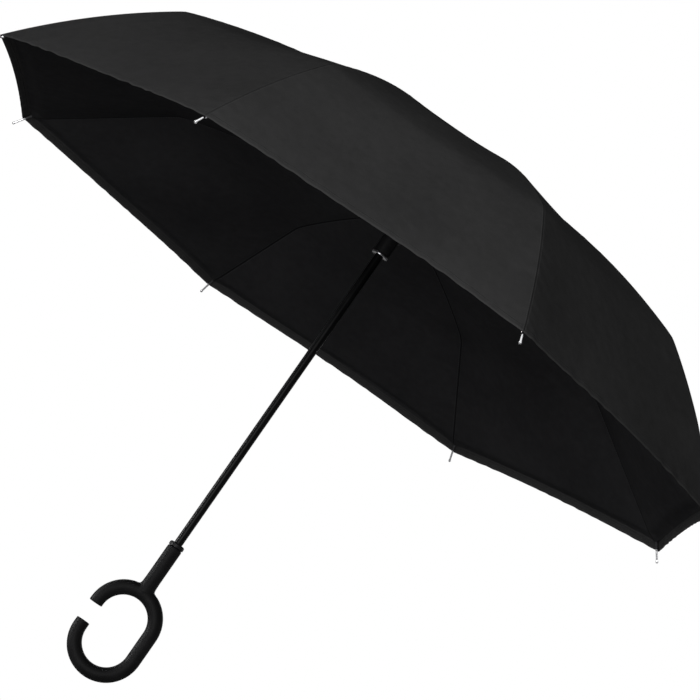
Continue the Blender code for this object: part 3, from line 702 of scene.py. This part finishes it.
def build_canopies(outer_cloth, inner_cloth):
    """Both layers, divided where their pieces ride on different bodies."""
    outer = outer_layer()
    inner = inner_layer(outer)
    outer["look"] = (outer_cloth, "outer_cloth", "outer_canopy")
    inner["look"] = (inner_cloth, "inner_cloth", "inner_canopy")
    sides = (ROWS_ABOVE_KNEE, ROWS_ABOVE_KNEE + ROWS_BELOW_KNEE)
    middles = (0, ROWS_ABOVE_KNEE)
    # The inner cloth is doubled on both sides of the knees, so that none of it parts when the ribs fold.
    doubled = lifted(inner, FOLD_LIFT)
    upper_fold = (ROWS_ABOVE_KNEE, ROWS_ABOVE_KNEE + FOLD_ROWS_BELOW_KNEE)
    lower_fold = (ROWS_ABOVE_KNEE - FOLD_ROWS_ABOVE_KNEE, ROWS_ABOVE_KNEE)
    plan = (
        ("outer_canopy_side_", outer, sides, "outer_rib_", FOLDED_OUTER_WIDTH_SHARE),
        ("inner_canopy_side_", inner, sides, "outer_rib_", FOLDED_INNER_WIDTH_SHARE),
        ("inner_canopy_middle_", inner, middles, "arm_", FOLDED_KNEE_WIDTH_SHARE),
        ("inner_canopy_arm_fold_", doubled, upper_fold, "arm_", FOLDED_KNEE_WIDTH_SHARE),
        ("inner_canopy_rib_fold_", doubled, lower_fold, "outer_rib_", FOLDED_KNEE_WIDTH_SHARE),
    )
    for number in range(RIB_COUNT):
        rib_column = number * GORE_COLUMNS
        columns = (rib_column - HALF_GORE_COLUMNS, rib_column + HALF_GORE_COLUMNS)
        label = f"{number + 1}"
        for name, layer, rows, carrier, keep in plan:
            cloth, slot, node = layer["look"]
            piece, area = panel(name + label, layer, rows, columns, rib_column)
            piece.data.materials.append(cloth)
            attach(piece, carrier + "unit_" + label)
            gather(piece)
            stretch_on(area, layer, rows, columns, [carrier + label])
            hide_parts(node)
        build_crown_slices(outer, middles, number)


def build_crown_slices(outer, rows, number):
    """The outer cloth from one rib's knee to the crown, in slices."""
    cloth, slot, node = outer["look"]
    places = gore_columns()
    rib_column = number * GORE_COLUMNS
    cuts = (-HALF_GORE_COLUMNS, -SLICE_COLUMN, 0, SLICE_COLUMN, HALF_GORE_COLUMNS)
    for part, (start, end) in enumerate(zip(cuts, cuts[1:]), start=1):
        columns = (rib_column + start, rib_column + end)
        name = f"outer_canopy_crown_{number + 1}_{part}"
        piece, area = panel(name, outer, rows, columns, rib_column)
        piece.data.materials.append(cloth)
        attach(piece, "shaft_and_crown")
        middle = (places[abs(start)] + places[abs(end)]) / 2 * (1 if start >= 0 else -1)
        azimuth = rib_azimuth(number) + math.atan(2 * math.tan(HALF_ANGLE) * middle)
        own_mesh(piece)
        stretch_on(area, outer, rows, columns, ["crown"])
        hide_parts(node)


# Turned and moulded fittings

# Edges sharper than these angles stay sharp, and the rest is shaded smooth
SHARP_ANGLE = math.radians(40)
LIP_ANGLE = math.radians(30)
CAP_ANGLE = math.radians(28)
BLEND_ANGLE = math.radians(50)
BEVEL_ANGLE = math.radians(30)
WELD_DISTANCE = 0.000002


def deselect():
    """Leaves edit mode and lets go of everything, because an operator acts on all that is selected."""
    if bpy.context.object is not None and bpy.context.object.mode != "OBJECT":
        bpy.ops.object.mode_set(mode="OBJECT")
    bpy.ops.object.select_all(action="DESELECT")


def only(piece):
    """Selects one piece and makes it the active one."""
    deselect()
    piece.select_set(True)
    bpy.context.view_layer.objects.active = piece


def settle(piece, name, angle=SHARP_ANGLE):
    """Puts a finished piece's place into its mesh, with smooth shading between its edges."""
    only(piece)
    piece.name = name
    bpy.ops.object.transform_apply(location=True, rotation=True, scale=True)
    bpy.ops.object.shade_smooth_by_angle(angle=angle)


def apply_modifier(piece, kind, **settings):
    """Adds a modifier with its settings and applies it."""
    only(piece)
    modifier = piece.modifiers.new(kind.lower(), kind)
    for setting, value in settings.items():
        setattr(modifier, setting, value)
    bpy.ops.object.modifier_apply(modifier=modifier.name)


def turned(name, rings, sides, bevel=0.0):
    """A solid turned about Z: a round face that is drawn on from ring to ring, as radius and height."""
    deselect()
    radius, height = rings[0]
    place = (0, 0, height)
    bpy.ops.mesh.primitive_circle_add(vertices=sides, radius=radius, fill_type="NGON", location=place)
    piece = bpy.context.object
    bpy.ops.object.mode_set(mode="EDIT")
    bpy.ops.mesh.select_all(action="SELECT")
    for next_radius, next_height in rings[1:]:
        bpy.ops.mesh.extrude_region_move(TRANSFORM_OT_translate={"value": (0, 0, next_height - height)})
        share = next_radius / radius
        bpy.ops.transform.resize(value=(share, share, 1), center_override=(0, 0, next_height))
        radius, height = next_radius, next_height
    bpy.ops.mesh.select_all(action="SELECT")
    bpy.ops.mesh.remove_doubles(threshold=WELD_DISTANCE)
    bpy.ops.mesh.normals_make_consistent(inside=False)
    bpy.ops.object.mode_set(mode="OBJECT")
    piece.name = name
    if bevel:
        apply_modifier(
            piece, "BEVEL", width=bevel, segments=3, limit_method="ANGLE", angle_limit=BEVEL_ANGLE
        )
    return piece


def cut_with(piece, cutter):
    """Takes a cutter's shape out of a piece and removes the cutter."""
    apply_modifier(piece, "BOOLEAN", operation="DIFFERENCE", object=cutter, solver="EXACT")
    bpy.data.objects.remove(cutter, do_unlink=True)


def bore_through(piece, radius, low, high, sides=64):
    """Cuts a round hole along the shaft's axis between two heights."""
    cut_with(piece, turned("bore", [(radius, low), (radius, high)], sides))


def join_with(piece, other):
    """Makes one solid of a piece and another, which is removed."""
    apply_modifier(piece, "BOOLEAN", operation="UNION", object=other, solver="EXACT")
    bpy.data.objects.remove(other, do_unlink=True)


# The handle's hook and neck, and the shaft that goes into it
HOOK_RADIUS = 0.0372
HOOK_HALF_STRAIGHT = 0.0169
HOOK_SHIFT = 0.0025
HOOK_TUBE_RADIUS = 0.0091
HOOK_END_RADIUS = 0.0085
HOOK_TAPER_LENGTH = 0.050
UPPER_END_DROP = 0.0030
LOWER_END_LIFT = 0.0069
NECK_RADIUS = 0.0093
SHAFT_RADIUS = 0.00525
SHAFT_WALL = 0.0009
SHAFT_EDGE = 0.0003
SHAFT_ROOM = 0.0003
SHAFT_BORE_RADIUS = SHAFT_RADIUS + SHAFT_ROOM
NECK_BORE_FLOOR = 0.072
BORE_RUN_OUT = 0.01
HOOK_STEPS = 40
HANDLE_VOXEL = 0.00055
EVEN_ROUNDS = 6
BLEND_ROUNDS = 40
BLEND_HEIGHTS = (0.050, 0.075)
BLEND_RADIUS = 0.016


def hook_points(steps):
    """The hook's centre line, from its upper end over the top and round to its lower end."""
    side = -HOOK_SHIFT - HOOK_RADIUS
    points = [Vector((side, 0, HOOK_HALF_STRAIGHT - UPPER_END_DROP))]
    for centre, start in ((HOOK_HALF_STRAIGHT, math.pi), (-HOOK_HALF_STRAIGHT, 0.0)):
        for step in range(steps + 1):
            angle = start - math.pi * step / steps
            radial = Vector((math.cos(angle), 0, math.sin(angle))) * HOOK_RADIUS
            points.append(Vector((-HOOK_SHIFT, 0, centre)) + radial)
    points.append(Vector((side, 0, LOWER_END_LIFT - HOOK_HALF_STRAIGHT)))
    return points


def build_handle(grip):
    """The hook and neck as one moulding with a soft blend where they meet."""
    points = hook_points(HOOK_STEPS)
    travelled = [0.0]
    for first, second in zip(points, points[1:]):
        travelled.append(travelled[-1] + (second - first).length)
    curve = bpy.data.curves.new("hook", "CURVE")
    curve.dimensions = "3D"
    curve.bevel_depth = 1.0
    curve.bevel_resolution = 12
    curve.use_fill_caps = True
    spline = curve.splines.new("POLY")
    spline.points.add(len(points) - 1)
    for control, point, place in zip(spline.points, points, travelled):
        near_end = min(place, travelled[-1] - place)
        share = smooth(near_end, 0.0, HOOK_TAPER_LENGTH)
        control.co = (*point, 1.0)
        control.radius = HOOK_END_RADIUS + (HOOK_TUBE_RADIUS - HOOK_END_RADIUS) * float(share)
    hook = bpy.data.objects.new("handle_grip", curve)
    bpy.context.scene.collection.objects.link(hook)
    only(hook)
    bpy.ops.object.convert(target="MESH")
    hook = bpy.context.object
    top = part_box("handle")[1].z
    rings = [
        (0.0070, 0.0535),
        (0.0106, 0.0560),
        (0.0101, 0.0610),
        (0.0096, 0.0680),
        (NECK_RADIUS, 0.0760),
        (NECK_RADIUS, top - 0.0012),
        (NECK_RADIUS - 0.0009, top - 0.0003),
        (NECK_RADIUS - 0.0018, top),
    ]
    join_with(hook, turned("neck", rings, sides=64))
    apply_modifier(hook, "REMESH", mode="VOXEL", voxel_size=HANDLE_VOXEL)
    soften(hook)
    bore_through(hook, SHAFT_BORE_RADIUS, NECK_BORE_FLOOR, top + BORE_RUN_OUT)
    settle(hook, "handle_grip", BLEND_ANGLE)
    dress(hook, grip, "shaft_and_crown", "handle")


def soften(piece):
    """Evens out the remeshed moulding, and most of all where the neck leaves the hook."""
    everywhere = {"factor": 0.5, "use_axis_x": True, "use_axis_y": True, "use_axis_z": True}
    mesh = bmesh.new()
    mesh.from_mesh(piece.data)
    for _ in range(EVEN_ROUNDS):
        bmesh.ops.smooth_vert(mesh, verts=mesh.verts, **everywhere)
    low, high = BLEND_HEIGHTS
    near = [v for v in mesh.verts if low < v.co.z < high and math.hypot(v.co.x, v.co.y) < BLEND_RADIUS]
    for _ in range(BLEND_ROUNDS):
        bmesh.ops.smooth_vert(mesh, verts=near, **everywhere)
    mesh.to_mesh(piece.data)
    mesh.free()


def dress(piece, material, body, node):
    """Gives a finished piece its material and its body, and hides the CAD node whose place it takes."""
    piece.data.materials.clear()
    piece.data.materials.append(material)
    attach(piece, body)
    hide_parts(node)


def build_shaft(enamel):
    """The steel tube with slightly broken edges."""
    low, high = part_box("shaft")
    rings = [
        (SHAFT_RADIUS - SHAFT_EDGE, low.z),
        (SHAFT_RADIUS, low.z + SHAFT_EDGE),
        (SHAFT_RADIUS, high.z - SHAFT_EDGE),
        (SHAFT_RADIUS - SHAFT_EDGE, high.z),
    ]
    shaft = turned("shaft_tube", rings, sides=72)
    bore_through(shaft, SHAFT_RADIUS - SHAFT_WALL, low.z - BORE_RUN_OUT, high.z + BORE_RUN_OUT, sides=48)
    settle(shaft, "shaft_tube")
    dress(shaft, enamel, "shaft_and_crown", "shaft")


def build_collar(plastic):
    """The small ring where the shaft enters the neck, with a bevelled upper edge."""
    low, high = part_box("neck_collar")
    radius = high.x
    rings = [(radius, low.z), (radius, high.z - 0.0014), (radius - 0.0010, high.z)]
    collar = turned("handle_collar", rings, sides=72, bevel=0.0003)
    bore_through(collar, SHAFT_BORE_RADIUS, low.z - BORE_RUN_OUT, high.z + BORE_RUN_OUT)
    settle(collar, "handle_collar")
    dress(collar, plastic, "shaft_and_crown", "neck_collar")


CAP_GAP = 0.0007


def build_cap(plastic):
    """A low dome with a flat top and a fine step round its foot, on a stem that goes into the shaft."""
    low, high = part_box("top_cap")
    seat = HEM_HEIGHT + OUTER["centre_rise"] + CAP_GAP
    rings = [
        (0.0040, low.z),
        (0.0040, seat),
        (0.0138, seat),
        (0.0140, seat + 0.0006),
        (0.0140, seat + 0.0014),
        (0.0132, seat + 0.0016),
        (0.0131, seat + 0.0030),
        (0.0121, seat + 0.0050),
        (0.0106, seat + 0.0065),
        (0.0086, seat + 0.0075),
        (0.0062, high.z),
    ]
    cap = turned("crown_cap", rings, sides=72)
    settle(cap, "crown_cap", CAP_ANGLE)
    dress(cap, plastic, "shaft_and_crown", "top_cap")


def build_ring(bright):
    """The bright ring at the runner's foot, with rounded lips and a groove round its middle."""
    low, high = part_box("runner_ring")
    radius = high.x
    middle = (low.z + high.z) / 2
    rings = [
        (radius - 0.0007, low.z),
        (radius - 0.0002, low.z + 0.0002),
        (radius, low.z + 0.0006),
        (radius, middle - 0.0004),
        (radius - 0.0004, middle),
        (radius, middle + 0.0004),
        (radius, high.z - 0.0006),
        (radius - 0.0002, high.z - 0.0002),
        (radius - 0.0007, high.z),
    ]
    ring = turned("runner_foot_ring", rings, sides=96)
    bore_through(ring, SHAFT_BORE_RADIUS, low.z - BORE_RUN_OUT, high.z + BORE_RUN_OUT)
    settle(ring, "runner_foot_ring", LIP_ANGLE)
    dress(ring, bright, "runner_unit", "runner_ring")


RIDGE_RADIUS = 0.0003
RIDGE_SPACING = 0.0014
RIDGE_LENGTH_SHARE = 0.7


def build_button(plastic):
    """The release button, with rounded lips and three finger ridges."""
    low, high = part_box("release_button")
    radius = (high.z - low.z) / 2
    centre = (high.z + low.z) / 2
    length = high.x - low.x
    rings = [
        (radius, 0),
        (radius, length - 0.0007),
        (radius - 0.0003, length - 0.0002),
        (radius - 0.0008, length),
    ]
    button = turned("button", rings, sides=64)
    for step in (-1, 0, 1):
        deselect()
        bpy.ops.mesh.primitive_cylinder_add(
            vertices=24,
            radius=RIDGE_RADIUS,
            depth=2 * radius * RIDGE_LENGTH_SHARE,
            location=(step * RIDGE_SPACING, 0, length),
            rotation=(math.pi / 2, 0, 0),
        )
        join_with(button, bpy.context.object)
    button.rotation_euler = (0, math.pi / 2, 0)
    button.location = (low.x, 0, centre)
    settle(button, "runner_button", LIP_ANGLE)
    dress(button, plastic, "button", "release_button")


# Rib tips

TIP_LENGTH = 0.0184
TIP_SETBACK = 0.0075
TIP_SLOPE_SHARE = 0.02


def tip_line():
    """Where a rib's end piece starts, and its direction, in its rib's plane as radius and height."""
    outward, _ = rib_plane(0)
    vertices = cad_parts["rib_tip_1"].data.vertices
    flat = [Vector((v.co.dot(outward), v.co.z)) for v in vertices]
    share = 1 - (1 - KNEE_SHARE) * TIP_SETBACK / (SPREAD_RADIUS - OUTER["knee"][0])
    before = Vector(profile(OUTER, share - TIP_SLOPE_SHARE))
    direction = (Vector(profile(OUTER, share)) - before).normalized()
    middle = sum(flat, Vector((0, 0))) / len(flat)
    start = min(point.dot(direction) for point in flat)
    return middle + direction * (start - middle.dot(direction)), direction


def build_tips(bright):
    """A bright end piece on each rib: a collar, a waist and a rounded end."""
    start, direction = tip_line()
    rings = [
        (0.0013, 0.0),
        (0.0018, 0.0003),
        (0.0018, 0.0018),
        (0.0014, 0.0022),
        (0.0013, 0.0030),
        (0.0014, 0.0038),
        (0.0013, 0.0130),
        (0.0014, 0.0148),
        (0.0017, 0.0158),
        (0.0018, 0.0168),
        (0.0016, 0.0177),
        (0.0010, 0.0182),
        (0.0003, TIP_LENGTH),
    ]
    for number in range(RIB_COUNT):
        outward, _ = rib_plane(number)
        tip = turned("tip", rings, sides=40)
        heading = outward * direction.x + Vector((0, 0, direction.y))
        tip.rotation_mode = "QUATERNION"
        tip.rotation_quaternion = heading.to_track_quat("Z", "Y")
        tip.location = outward * start.x + Vector((0, 0, start.y))
        settle(tip, f"rib_end_{number + 1}", BLEND_ANGLE)
        dress(tip, bright, f"outer_rib_unit_{number + 1}", f"rib_tip_{number + 1}")


# The CAD parts that keep their shape get their finishes


def finish_frame(enamel, plastic, bright, fibre):
    """Materials for the ribs' parts and the hubs."""
    finishes = {"arm": enamel, "stretcher": enamel, "outer_rib": fibre, "knuckle": plastic}
    for kind, material in finishes.items():
        for number in range(RIB_COUNT):
            paint_node(f"{kind}_{number + 1}", material)
    paint_node("crown", plastic)
    paint_node("runner", plastic)
    paint_node("crown_wire", bright)
    paint_node("runner_wire", bright)


def paint_node(name, material):
    """Gives a CAD node its material and leaves its shape alone."""
    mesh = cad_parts[name].data
    mesh.materials.clear()
    mesh.materials.append(material)


# Studio

# The camera was fitted to the rib points, the hem and the shaft in the photo
CAMERA_PLACE = Vector((0.23906, -3.56387, -0.13369))
CAMERA_AIM = Vector((0.03531, 0.00202, 0.42822))
CAMERA_ROLL = math.radians(34.82)
FOCAL_LENGTH_PIXELS = 3061.0
IMAGE_PIXELS = 700
SENSOR_WIDTH = 36.0
FAR_CLIP = 60.0
FLOOR_HEIGHT = -1.1
FLOOR_SIZE = 30.0
SKY_STRENGTH = 0.10


def build_camera():
    """The camera from which the photo was taken, turned about its own axis as the photo was."""
    data = bpy.data.cameras.new("camera")
    data.sensor_width = SENSOR_WIDTH
    data.lens = SENSOR_WIDTH * FOCAL_LENGTH_PIXELS / IMAGE_PIXELS
    data.clip_end = FAR_CLIP
    camera = bpy.data.objects.new("camera", data)
    bpy.context.scene.collection.objects.link(camera)
    view = (CAMERA_AIM - CAMERA_PLACE).to_track_quat("-Z", "Y").to_matrix().to_4x4()
    camera.matrix_world = Matrix.Translation(CAMERA_PLACE) @ view @ Matrix.Rotation(CAMERA_ROLL, 4, "Z")
    bpy.context.scene.camera = camera


def area_light(name, place, aim, size, watts, spread=math.pi):
    """A lamp that the script aims at a point and that lights a cone as wide as its spread."""
    data = bpy.data.lights.new(name, "AREA")
    data.shape = "RECTANGLE"
    data.size, data.size_y = size
    data.energy = watts
    data.spread = spread
    light = bpy.data.objects.new(name, data)
    light.location = place
    light.rotation_euler = (Vector(aim) - Vector(place)).to_track_quat("-Z", "Y").to_euler()
    bpy.context.scene.collection.objects.link(light)


def white_to_camera(tree, shade, strength):
    """Plain white where the camera, a reflection or glass sees it, and its own light elsewhere."""
    path = tree.nodes.new("ShaderNodeLightPath")
    seen = tree.nodes.new("ShaderNodeMath")
    mirrored = tree.nodes.new("ShaderNodeMath")
    seen.operation = mirrored.operation = "MAXIMUM"
    tree.links.new(path.outputs["Is Glossy Ray"], mirrored.inputs[0])
    tree.links.new(path.outputs["Is Transmission Ray"], mirrored.inputs[1])
    tree.links.new(path.outputs["Is Camera Ray"], seen.inputs[0])
    tree.links.new(mirrored.outputs[0], seen.inputs[1])
    white = tree.nodes.new("ShaderNodeBackground")
    white.inputs["Color"].default_value = (1.0, 1.0, 1.0, 1.0)
    own = tree.nodes.new("ShaderNodeBackground")
    own.inputs["Color"].default_value = (*shade, 1.0)
    own.inputs["Strength"].default_value = strength
    mix = tree.nodes.new("ShaderNodeMixShader")
    tree.links.new(seen.outputs[0], mix.inputs["Fac"])
    tree.links.new(own.outputs[0], mix.inputs[1])
    tree.links.new(white.outputs[0], mix.inputs[2])
    return mix


def build_studio():
    """A pale floor and sky that read as white, and four lamps at a plain level."""
    bpy.context.scene.view_settings.view_transform = "Standard"
    world = bpy.data.worlds.new("studio")
    world.use_nodes = True
    bpy.context.scene.world = world
    tree = world.node_tree
    output = next(node for node in tree.nodes if node.type == "OUTPUT_WORLD")
    sky = white_to_camera(tree, (1.0, 1.0, 1.0), SKY_STRENGTH)
    tree.links.new(sky.outputs[0], output.inputs["Surface"])
    deselect()
    bpy.ops.mesh.primitive_plane_add(size=FLOOR_SIZE, location=(0, 0, FLOOR_HEIGHT))
    floor = bpy.context.object
    floor.name = "floor"
    shader = Shader("pale_floor", (0.86, 0.86, 0.86), 0.8)
    floor.data.materials.append(shader.material)
    area_light("key", (-1.0, -4.4, -0.25), (0, 0, 0.45), (2.2, 2.2), 240)
    area_light("top", (-0.6, -0.3, 3.4), (0, 0, 0.5), (3.0, 3.0), 28)
    area_light("back", (0.6, 4.2, 1.4), (0, 0, 0.5), (3.0, 3.0), 60)
    area_light("handle_side", (-4.0, -0.3, -0.05), (0, 0, 0), (0.6, 0.6), 2.4, spread=math.radians(12))


def main():
    outer_cloth = cloth_material(
        "outer_black_cloth",
        dark=(0.022, 0.022, 0.0222),
        light=(0.034, 0.034, 0.0342),
        roughness=0.80,
        line_weight=0.4,
        groove_width=0.0011,
        underside_painted_shade=0.62,
    )
    inner_cloth = cloth_material(
        "inner_black_cloth",
        dark=(0.0074, 0.0074, 0.0078),
        light=(0.0134, 0.0134, 0.0140),
        roughness=0.88,
        line_weight=0.8,
        groove_width=0.0026,
        underside_painted_shade=0.0,
    )
    grip = grip_material()
    plastic = plastic_material("black_moulding", (0.004, 0.004, 0.0043), 0.45)
    fibre = plastic_material("black_rib_rod", (0.016, 0.016, 0.017), 0.40)
    enamel = enamel_material()
    bright = metal_material("bright_plated_steel", (0.42, 0.42, 0.43), (0.56, 0.56, 0.57))
    dull = metal_material("dark_plated_steel", (0.20, 0.20, 0.21), (0.32, 0.32, 0.33))
    build_canopies(outer_cloth, inner_cloth)
    build_handle(grip)
    build_shaft(enamel)
    build_collar(plastic)
    build_cap(plastic)
    build_ring(dull)
    build_button(plastic)
    build_tips(bright)
    finish_frame(enamel, plastic, bright, fibre)
    build_camera()
    build_studio()
    deselect()


main()
